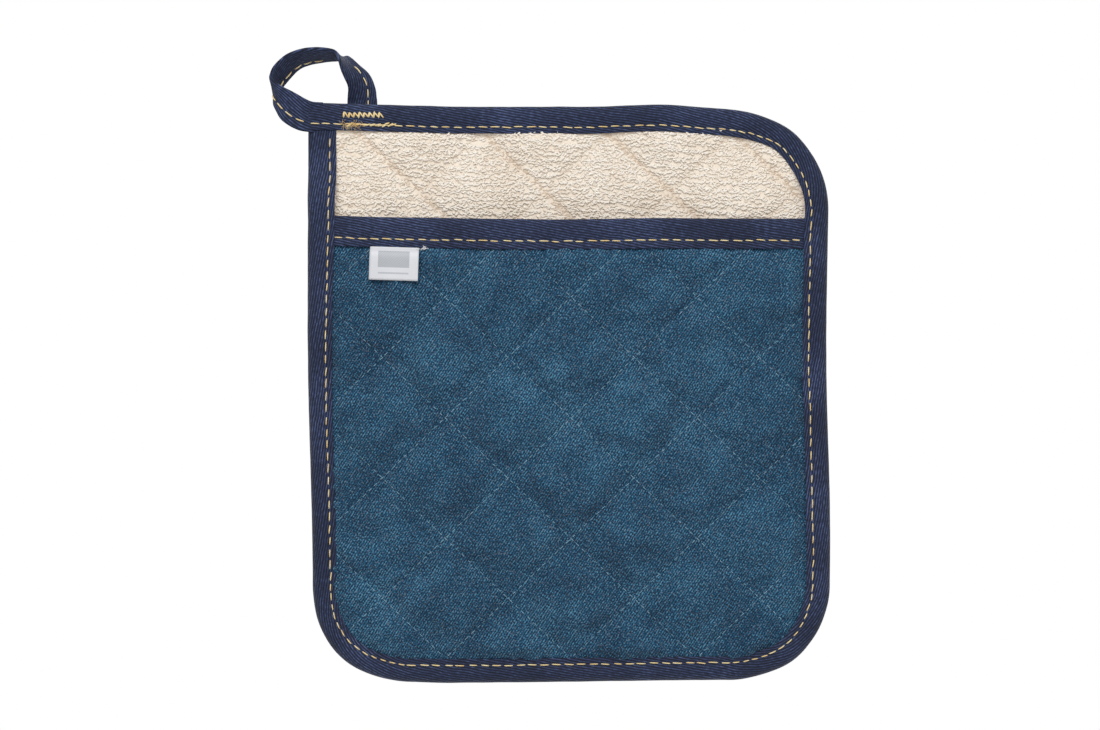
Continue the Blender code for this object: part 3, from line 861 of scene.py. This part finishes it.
def make_tape():
    """Twill tape: ribs that drift across the tape, worn paler on their crests."""
    material, tree, shader = new_material("navy_twill_tape")
    run = read_run(tree)
    along, across, shade = split(tree, run)
    drift = times(tree, along, math.sin(rib_drift))
    slanted = calc(tree, "SUBTRACT", times(tree, across, math.cos(rib_drift)), drift)
    sway = times(tree, speckle(tree, run, 110.0, 1.0), 0.9)
    ridge = plus(tree, calc(tree, "DIVIDE", slanted, rib_pitch), sway)
    rib = wave(tree, ridge)
    yarn_place = add_node(tree, "ShaderNodeCombineXYZ", {
        "X": calc(tree, "DIVIDE", along, 2.2 * MM), "Y": ridge, "Z": 0.0,
    }).outputs[0]
    yarn = speckle(tree, yarn_place, 1.2, 2.0)
    cloud = speckle(tree, run, 45.0, 3.0)
    tone = blend_tones(tree, (rib, 0.36, 0.45), (yarn, 1.05, -0.53), (cloud, 0.7, -0.35))
    colour = ramp(tree, tone, [
        (0.0, (0.006, 0.008, 0.019)), (0.40, (0.014, 0.020, 0.050)),
        (0.75, (0.028, 0.042, 0.100)), (1.0, (0.078, 0.110, 0.230)),
    ])
    dress(tree, shader, colour, plus(tree, times(tree, rib, 0.5), yarn), 0.5, 0.22 * MM, {
        "Roughness": 0.8, "Sheen Weight": 0.10, "Sheen Roughness": 0.5, "Specular IOR Level": 0.25,
    })
    return material


def add_tape(name, rings, runs, body=None):
    """A tape swept through rings of points, capped at both ends."""
    rings = np.asarray(rings, float)
    count, size = rings.shape[:2]
    number = np.arange(count * size).reshape(count, size)
    beside = np.roll(number, -1, axis=1)
    walls = np.stack([number[:-1], beside[:-1], beside[1:], number[1:]], axis=-1)
    faces = walls.reshape(-1, 4).tolist()
    faces.append(number[0, ::-1].tolist())
    faces.append(number[-1].tolist())
    piece = add_mesh(name, rings, faces, navy_tape, body, np.asarray(runs).reshape(-1, 3))
    return piece


def folded_section(place, width, shares):
    """A folded tape's ring, round its front, its fold, its back and inside again, and where each lies."""
    outer = [(share, -1) for share in shares] + [(share, 1) for share in reversed(shares)]
    ring = [place(width * share, side) for share, side in outer]
    across = [-side * width * share for share, side in outer]
    for share, side in ((1.0, 1), (0.6, 1), (0.13, 1), (0.13, -1), (0.6, -1), (1.0, -1)):
        x, y, z = place(width * share, side)
        ring.append((x, y - side * tape_thickness, z))
        across.append(-side * width * share)
    return ring, across


def add_folded_tape(name, section, start, end, first_run=0.0):
    """A folded tape made from its sections between two places."""
    rings = []
    runs = []
    stations = int((end - start) / station_step)
    for i in range(stations + 1):
        run = start + (end - start) * i / stations
        ring, across = section(run)
        rings.append(ring)
        runs.append([(run + first_run, place, 0.5) for place in across])
    return add_tape(name, rings, runs, "mitt")


def edge_section(run):
    shares = (1.0, 0.965, 0.90, 0.83, 0.765, 0.70, 0.62, 0.52, 0.42, 0.32, 0.23, 0.15, 0.085, 0.035, 0.008)
    return folded_section(lambda inset, side: tape_place(run, inset, side), tape_width(run), shares)


navy_tape = make_tape()
edge_tape = add_folded_tape("edge_binding_tape", edge_section, 0.0, edge_length)
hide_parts("edge_binding")

# ----------------------------------------------------------
# Pocket binding. A second length of the same tape, folded over the pocket's top edge. It bows out
# with the mouth, and its two ends are caught under the edge binding.

mouth_seam_from_edge = 3.5 * MM
mouth_fold_reach = 3.4 * MM
mouth_start = left + 7.5 * MM
mouth_end = right - 7.5 * MM


# Where the pocket's top edge rises over its line or sags below it, in millimetres along and up
mouth_sags = (
    (-7, 1.2), (8, 1.1), (22, 0.55), (40, 0.1), (66, -0.4), (95, -0.8), (118, -0.5), (139, -0.1),
    (165, -0.3), (209, 0.2),
)


def mouth_line(x):
    """Height of the pocket's top edge."""
    places = [place * MM for place, rise in mouth_sags]
    rise = float(np.interp(x, places, [rise for place, rise in mouth_sags]))
    return mouth + rise * MM + 0.15 * MM * noise.noise((x / 0.03, 1.0, 7.0))


def mouth_place(x, drop, side):
    """A point on the pocket tape's front (-1) or inner (1) face, a drop below its folded edge."""
    stand = float(bow(x, mouth))
    front = front_of_tape - stand
    back = -0.4 * MM - stand
    middle = (front + back) / 2
    half = (back - front) / 2
    height = half * fold_height(drop / mouth_fold_reach)
    seam = mouth_tape_width - mouth_seam_from_edge
    dip, hole = pulled_in(x, drop, seam, 0.25)
    swell = tape_crown * math.sin(math.pi * min(drop / seam, 1.0)) - dip + rippled(x, drop, 12.0, 0.25 * MM)
    tuck = 1 - float(smooth((min(x - mouth_start, mouth_end - x) - 1.5 * MM) / (3 * MM)))
    height += swell * min(1.0, drop / (2 * MM)) - 0.9 * MM * tuck * (side < 0)
    return (x, middle + side * height, mouth_line(x) - drop)


def mouth_section(x):
    shares = (1.0, 0.97, 0.91, 0.84, 0.78, 0.715, 0.65, 0.56, 0.46, 0.36, 0.26, 0.17, 0.09, 0.035, 0.008)
    return folded_section(lambda drop, side: mouth_place(x, drop, side), mouth_tape_width, shares)


mouth_tape = add_folded_tape("pocket_binding_tape", mouth_section, mouth_start, mouth_end, 0.7)
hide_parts("pocket_binding")

# ----------------------------------------------------------
# Topstitching. Thick golden thread, one row round the edge binding and one along the pocket's tape.
# Each stitch lies slightly askew, swells between its holes and dives into the tape at both ends.

stitch_length = 4.0 * MM
gold_radius = 0.26 * MM
gold_thread = make_thread("golden_thread", (0.72, 0.44, 0.13), (1.0, 0.92, 0.58), 0.4)
to_front = (0.0, -1.0, 0.0)
to_back = (0.0, 1.0, 0.0)
chance = random.Random(23)


def arched(power):
    """Shares along a stitch, each with the height of its arch there."""
    return [(share, math.sin(math.pi * share) ** power) for share in np.linspace(0, 1, 7)]


def stitch_row(start, end, place, facing, pitch=stitch_pitch, length=stitch_length):
    """Stitches along a seam. place gives the tape's face at a run and an offset across the seam."""
    lines = []
    for k in range(int((end - start) / pitch)):
        first = start + k * pitch + chance.uniform(-0.25, 0.25) * MM
        own_length = length * chance.uniform(0.84, 1.10)
        slant = chance.gauss(0.22, 0.14) * MM
        shift = chance.gauss(0.0, 0.10) * MM
        line = []
        for share, arch in arched(0.4):
            x, y, z = place(first + own_length * share, shift + slant * (share - 0.5))
            line.append((x, y + facing * (0.48 * arch - 0.20) * MM, z))
        lines.append(line)
    return lines


def stitch_radii(lines, radius):
    """Threads that narrow where they go into the cloth."""
    return np.ones((len(lines), 1)) * np.array([0.55, 0.9, 1.0, 1.0, 1.0, 0.9, 0.55]) * radius


def add_gold(name, rows, node=None, up=to_front, radius=gold_radius, body="mitt"):
    """Golden stitches made as one piece, which may stand for a node of the model."""
    piece = add_threads(name, rows, stitch_radii(rows, radius), 6, gold_thread, up, body=body)
    if node is not None:
        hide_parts(node)
    return piece


def on_edge_seam(side):
    def place(run, offset):
        return tape_place(run, tape_width(run) - seam_from_edge + offset, side)
    return place


seam_start = 0.3 * MM
seam_end = edge_length - 1 * MM
add_gold(
    "edge_topstitching_front", stitch_row(seam_start, seam_end, on_edge_seam(-1), -1),
    "edge_topstitch_front",
)
add_gold(
    "edge_topstitching_back", stitch_row(seam_start, seam_end, on_edge_seam(1), 1),
    "edge_topstitch_back", to_back,
)


def on_mouth_seam(side):
    def place(x, offset):
        return mouth_place(x, mouth_tape_width - mouth_seam_from_edge + offset, side)
    return place


mouth_seam = (left + side_tape_width + 0.5 * MM, right - side_tape_width)
add_gold("pocket_topstitching", stitch_row(*mouth_seam, on_mouth_seam(-1), -1), "pocket_topstitch")
add_gold("pocket_topstitching_inside", stitch_row(*mouth_seam, on_mouth_seam(1), 1), None, to_back)

# ----------------------------------------------------------
# Hanging loop. The binding tape runs on past the corner, folded shut and stitched, curls up and
# over to the right, and its end is sewn down behind the top binding.

loop_tape_width = 12.2 * MM
loop_thickness = 1.7 * MM
loop_cup = 0.35 * MM
loop_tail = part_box("loop_tail")
tail_y = (loop_tail[0].y + loop_tail[1].y) / 2

# The tape's folded edge and its free edge, each as x, z and y in millimetres, from the corner round
loop_route = [
    (-1.0, -16.8, -0.35, -1.0, -29.0, -0.35),
    (-5.4, -16.5, -0.7, -5.8, -29.2, -0.7),
    (-8.6, -15.1, 0.0, -11.9, -28.1, 0.0),
    (-13.3, -12.4, 0.8, -18.2, -24.2, 0.8),
    (-18.5, -9.8, -0.5, -20.9, -19.3, 2.6),
    (-22.7, -6.9, 1.0, -21.6, -15.4, 6.5),
    (-22.9, -4.4, 1.5, -19.9, -12.5, 8.5),
    (-20.9, -0.9, 1.0, -17.9, -9.1, 9.0),
    (-15.8, 3.2, -0.9, -12.5, -2.9, 8.8),
    (-8.7, 5.4, -1.0, -7.1, -0.1, 9.3),
    (-2.5, 5.8, -0.7, -1.2, 1.0, 10.0),
    (3.7, 4.6, -0.5, 5.6, 1.8, 10.8),
    (5.6, 0.6, -0.3, 8.4, 3.1, 11.3),
    (6.6, -3.2, 0.5, 13.5, -0.9, 9.6),
    (7.9, -6.6, 2.0, 17.7, -4.6, 9.3),
    (9.1, -10.0, 4.5, 20.2, -10.0, 8.8),
    (8.9, -13.7, 6.2, 20.9, -14.1, 8.0),
    (8.7, -17.0, tail_y / MM, 21.2, -17.0, tail_y / MM),
    (8.9, -29.5, tail_y / MM, 21.1, -29.5, tail_y / MM),
]
crease_after = 11


def through_points(points, steps):
    """A smooth curve through a row of points, with steps samples in each span."""
    curve = []
    for i in range(len(points) - 1):
        before = points[max(i - 1, 0)]
        start = points[i]
        end = points[i + 1]
        after = points[min(i + 2, len(points) - 1)]
        for k in range(steps):
            t = k / steps
            curve.append([
                0.5 * (2 * b + (c - a) * t + (2 * a - 5 * b + 4 * c - d) * t * t
                       + (3 * b - a - 3 * c + d) * t ** 3)
                for a, b, c, d in zip(before, start, end, after)
            ])
    curve.append(list(points[-1]))
    return curve


def loop_frames(steps):
    """Middle, width direction, face normal and run of the loop's tape, station by station."""
    route = np.array(through_points(loop_route, steps)) * MM
    fold = route[:, [0, 2, 1]]
    free = route[:, [3, 5, 4]]
    middle = (fold + free) / 2
    width = (fold - free) / loop_tape_width
    normal = -np.cross(width, np.gradient(middle, axis=0))
    normal /= np.linalg.norm(normal, axis=1, keepdims=True)
    step = np.linalg.norm(np.diff(middle, axis=0, prepend=middle[:1]), axis=1)
    return list(zip(middle, width, normal, 6 * MM - np.cumsum(step)))


def loop_section(wave):
    """Ring across the closed tape: round at its fold, two plies with a slit at its free edges."""
    half = loop_tape_width / 2
    thick = loop_thickness / 2
    seam = -half + seam_from_edge
    side = [
        (half, 0.0), (half * 0.985, 0.45), (half * 0.93, 0.8), (half * 0.80, 0.98), (half * 0.5, 1.0),
        (half * 0.2, 0.97), (half * -0.15, 0.95), (half * -0.4, 0.9), (seam, 0.68), (half * -0.72, 0.86),
        (half * -0.9, 0.88), (half * -0.985, 0.75), (half * -1.0, 0.45), (half * -0.995, 0.18),
        (half * -0.93, 0.06),
    ]
    ring = [(across, out * thick) for across, out in side]
    ring += [(across, -out * thick) for across, out in reversed(side[1:])]
    return [(across, out * (1 + 0.12 * wave)) for across, out in ring]


def loop_face(frames, station, across, out):
    """A point off the middle of the loop's tape at a station, which may lie between two frames."""
    i = min(int(station), len(frames) - 2)
    share = station - i
    near, far = frames[i], frames[i + 1]
    middle, width, normal = (near[k] + (far[k] - near[k]) * share for k in range(3))
    return middle + across * width + out * normal


def bend_root(piece):
    """Leaves a piece of the loop, from its root to its crease, where it stands, its placing baked into its
    mesh.
    """
    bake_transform(piece)


def bend_tail(piece):
    """Leaves a piece of the loop's right leg where it stands, its placing baked into its mesh."""
    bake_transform(piece)


loop_steps = 7
frames = loop_frames(loop_steps)
crease = crease_after * loop_steps
for name, first, last, bends, node in (
    ("hanging_loop_left", 0, crease, bend_root, "hang_loop"),
    ("hanging_loop_right", crease, len(frames) - 1, bend_tail, "loop_tail"),
):
    rings = []
    runs = []
    for middle, width, normal, run in frames[first:last + 1]:
        section = loop_section(noise.noise((run / (9 * MM), 1.7, 0.0)))
        ring = []
        for across, out in section:
            hollow = loop_cup * (1 - (across / (loop_tape_width / 2)) ** 2)
            hollow += 0.18 * MM * noise.noise((run / (6 * MM), across / (5 * MM), 3.0))
            ring.append(middle + across * width + (out + hollow) * normal)
        rings.append(ring)
        runs.append([(run, loop_tape_width / 2 - across, 0.5) for across, out in section])
    leg = add_tape(name, rings, runs)
    bends(leg)
    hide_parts(node)

# ----------------------------------------------------------
# Loop stitching. The golden seam runs on along the loop on both of its faces. A zigzag tack holds
# the loop's end, and where the seam was started a messy backstitch piles up with loose fuzz.

loop_radius = 0.28 * MM


def loop_stitches(first, last, out_side):
    """Stitches on one face of the loop between two stations."""
    runs = [frames[0][3] - f[3] for f in frames]
    lines = []
    start = runs[first]
    end = runs[last]
    across = -loop_tape_width / 2 + seam_from_edge + (1.1 * MM if out_side < 0 else 0.0)
    for k in range(int((end - start) / stitch_pitch)):
        begin = start + k * stitch_pitch + 0.6 * MM + chance.uniform(-0.2, 0.2) * MM
        slant = chance.gauss(0.1, 0.15) * MM
        line = []
        for share, arch in arched(0.6):
            run = begin + stitch_length * share
            station = float(np.interp(run, runs, range(len(frames))))
            out = out_side * (loop_thickness / 2 * 0.74 + (0.50 * arch - 0.20) * MM) + 0.22 * MM
            line.append(loop_face(frames, station, across + slant * (share - 0.5), out))
        lines.append(line)
    return lines


loop_end = len(frames) - 5
for name, first, last, out_side, bends, node in (
    ("loop_stitching_outer_left", 2, 27, 1, bend_root, "loop_topstitch_outer"),
    ("loop_stitching_outer_top", 42, crease - 4, 1, bend_root, None),
    ("loop_stitching_outer_right", crease + 13, loop_end, 1, bend_tail, None),
    ("loop_stitching_inner_left", 10, crease, -1, bend_root, "loop_topstitch_inner"),
    ("loop_stitching_inner_right", crease + 13, loop_end, -1, bend_tail, None),
):
    rows = loop_stitches(first, last, out_side)
    bends(add_gold(name, rows, node, (0.3, 0.5, 0.8), loop_radius, None))

tack_left = 7.6 * MM
tack_right = 24.2 * MM
tack_top = -20.9 * MM
tack_bottom = -23.2 * MM
tack_zigs = 8
tack_radius = 0.33 * MM


def tack_lines(start, end, seat, facing):
    """The zigzag, one thread from hole to hole."""
    lines = []
    pitch = (end - start) / tack_zigs
    for i in range(2 * tack_zigs):
        x = start + pitch * (i // 2 + 0.16 * (i % 2))
        next_x = start + pitch * (i // 2 + 0.16 + 0.84 * (i % 2)) + chance.uniform(-0.15, 0.15) * MM
        from_z, to_z = (tack_bottom, tack_top) if i % 2 == 0 else (tack_top, tack_bottom)
        from_z += chance.uniform(-0.25, 0.25) * MM
        to_z += chance.uniform(-0.25, 0.25) * MM
        line = []
        for share, arch in arched(0.6):
            y = seat + facing * (0.45 * arch - 0.15) * MM
            line.append((x + (next_x - x) * share, y, from_z + (to_z - from_z) * share))
        lines.append(line)
    return lines


tack_seat = tape_place(15 * MM, 4.4 * MM, -1)[1]
rows = tack_lines(tack_left, tack_right, tack_seat, -1)
thick_and_thin = np.where(np.arange(len(rows)) % 2 == 0, 0.46, 0.32)[:, None] * MM
add_gold("tack_zigzag_on_front", rows, "tack_zigzag_front", to_front, thick_and_thin)
rows = tack_lines(tack_left + 1.5 * MM, tack_right - 2 * MM, loop_tail[1].y + 0.5 * MM, 1)
add_gold("tack_zigzag_on_tail", rows, "tack_zigzag_back", to_back, tack_radius)

knot_rows = []
for k in range(15):
    begin = (15.5 + 1.3 * k + chance.uniform(-0.6, 0.6)) * MM
    offset = chance.gauss(0.0, 0.25) * MM
    rise = chance.gauss(0.9, 0.35) * MM
    reach = chance.uniform(2.2, 3.4) * MM
    height = chance.uniform(0.45, 0.8)
    line = []
    for share, arch in arched(0.6):
        x, y, z = tape_place(begin + reach * share, tape_width(begin) - seam_from_edge + offset, -1)
        line.append((x, y - (height * arch - 0.25) * MM, z + rise * (share - 0.5)))
    knot_rows.append(line)
add_gold("backstitched_start", knot_rows, None, to_front, tack_radius)


def add_fuzz(name, middle, spread, count, reach, radius, material):
    """Loose fine hairs that curl out of one place."""
    lines = []
    for k in range(count):
        place = np.array(middle) + np.array([chance.gauss(0, s) for s in spread]) * MM
        way = chance.uniform(0, 2 * math.pi)
        curl = chance.uniform(-2.4, 2.4)
        own_reach = reach * chance.uniform(0.5, 1.2)
        line = []
        for step in range(9):
            share = step / 8
            angle = way + curl * share
            line.append(tuple(place))
            place = place + np.array((math.cos(angle), -0.25 + 0.5 * share, math.sin(angle))) * own_reach / 8
        lines.append(line)
    add_threads(name, lines, radius, 4, material)


fuzz_x, fuzz_y, fuzz_z = tape_place(18.5 * MM, tape_width(18 * MM) - 2.2 * MM, -1)
frayed_gold = make_thread("frayed_gold_thread", (0.95, 0.62, 0.25), (1.0, 0.85, 0.5), 0.6)
add_fuzz(
    "frayed_gold_ends", (fuzz_x, fuzz_y - 0.5 * MM, fuzz_z), (2.6, 0.1, 0.8), 60, 2.2 * MM,
    0.045 * MM, frayed_gold,
)

# ----------------------------------------------------------
# Label. A small white satin label, folded double, its cut edges caught under the pocket's tape. Its
# mark is a plain grey woven block over a thin grey bar, with no words.

label_low, label_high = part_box("label")
label_tilt = math.radians(-1.9)
label_tuck = 1.6 * MM
label_thickness = 0.45 * MM


def make_label():
    """White satin with a fine crosswise rib, and its woven grey block and bar."""
    material, tree, shader = new_material("white_label_satin")
    u, w, shade = split(tree, read_run(tree))
    fine = wave(tree, times(tree, w, 1 / (0.42 * MM)))
    check = wave(tree, times(tree, plus(tree, u, w), 1 / (1.1 * MM)))

    def patch(u_low, u_high, w_low, w_high):
        """One on a woven rectangle of the label and nothing around it."""
        share = 1.0
        for value, low, high in ((u, u_low, u_high), (w, w_low, w_high)):
            share = times(tree, share, calc(tree, "GREATER_THAN", value, low * MM))
            share = times(tree, share, calc(tree, "LESS_THAN", value, high * MM))
        return share

    grey = plus(tree, patch(3.6, 16.6, 1.4, 8.2), times(tree, patch(3.8, 16.4, 10.2, 10.9), 0.8))
    grey = times(tree, grey, calc(tree, "MULTIPLY_ADD", check, 0.12, 0.82))
    colour = add_node(tree, "ShaderNodeMix", {
        "Factor": grey, 6: (0.66, 0.665, 0.70, 1), 7: (0.36, 0.38, 0.41, 1),
    }, data_type="RGBA").outputs[2]
    dress(tree, shader, colour, fine, 0.25, 0.06 * MM, {"Roughness": 0.42, "Sheen Weight": 0.2})
    return material


label_width = label_high.x - label_low.x
label_height = label_high.z - label_low.z
label_centre = (label_high.x + label_low.x) / 2
label_points = []
label_run = []
columns = 22
rows = 16
for side in (0, 1):
    for j in range(rows + 1):
        for i in range(columns + 1):
            u = label_width * i / columns
            w = (label_height + label_tuck) * j / rows - label_tuck
            from_centre = u - label_width / 2
            x = label_centre + from_centre * math.cos(label_tilt) + w * math.sin(label_tilt)
            z = label_high.z + from_centre * math.sin(label_tilt) - w * math.cos(label_tilt)
            share = (x - label_low.x) / label_width
            y = label_high.y + (label_low.y - label_high.y) * share
            y -= 0.55 * MM * (max(w, 0) / label_height) ** 1.5 + 0.25 * MM * math.sin(u / (3.6 * MM))
            under_tape = mouth_place(x, mouth_tape_width, -1)[1] + 0.75 * MM
            y += (under_tape - y) * math.exp(-max(w, 0) / (1.1 * MM))
            label_points.append((x, y - side * label_thickness, z))
            label_run.append((u, w, 0.5))
grid = np.arange(2 * (rows + 1) * (columns + 1)).reshape(2, rows + 1, columns + 1)
label_faces = []
for face in (grid[0].T, grid[1]):
    corners = [face[:-1, :-1], face[:-1, 1:], face[1:, 1:], face[1:, :-1]]
    label_faces += np.stack(corners, -1).reshape(-1, 4).tolist()
rim = np.concatenate([grid[:, 0, :-1], grid[:, :-1, -1], grid[:, -1, :0:-1], grid[:, :0:-1, 0]], axis=1)
onward = np.roll(rim, -1, axis=1)
label_faces += np.stack([rim[0], onward[0], onward[1], rim[1]], -1).tolist()
label = add_mesh("woven_label", label_points, label_faces, make_label(), None, label_run)
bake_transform(label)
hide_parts("label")

# ----------------------------------------------------------
# Loose ends. A tuft of white thread sticks out beside the label, and a few specks of dark and pale
# lint cling to the terry and the denim.

white_thread = make_thread("white_thread_end", (0.60, 0.62, 0.64), (0.90, 0.90, 0.90), 0.6)
tuft_y = label_high.y - 1.4 * MM
add_fuzz(
    "label_thread_tuft", (label_high.x + 1.6 * MM, tuft_y, label_high.z - 0.4 * MM),
    (0.8, 0.1, 0.3), 12, 1.5 * MM, 0.13 * MM, white_thread,
)
dark_lint = make_thread("dark_lint", (0.02, 0.02, 0.03), (0.09, 0.07, 0.06), 0.9)
lint_places = (
    (80.5, -31.0), (40.0, -36.5), (151.0, -35.2), (62.5, -43.0), (186.0, -48.0), (118.0, -58.5),
)
lint_step = 0.18 * MM
lint_lines = []
for lint_x, lint_z in lint_places:
    x = lint_x * MM
    z = lint_z * MM
    y = float(terry_base(x, z)) - 1.3 * MM
    way = chance.uniform(0, math.pi)
    steps = [step * lint_step for step in range(4)]
    lint_lines.append([(x + math.cos(way) * reach, y, z + math.sin(way) * reach) for reach in steps])
lint = add_threads("lint_specks", lint_lines, 0.16 * MM, 5, dark_lint)
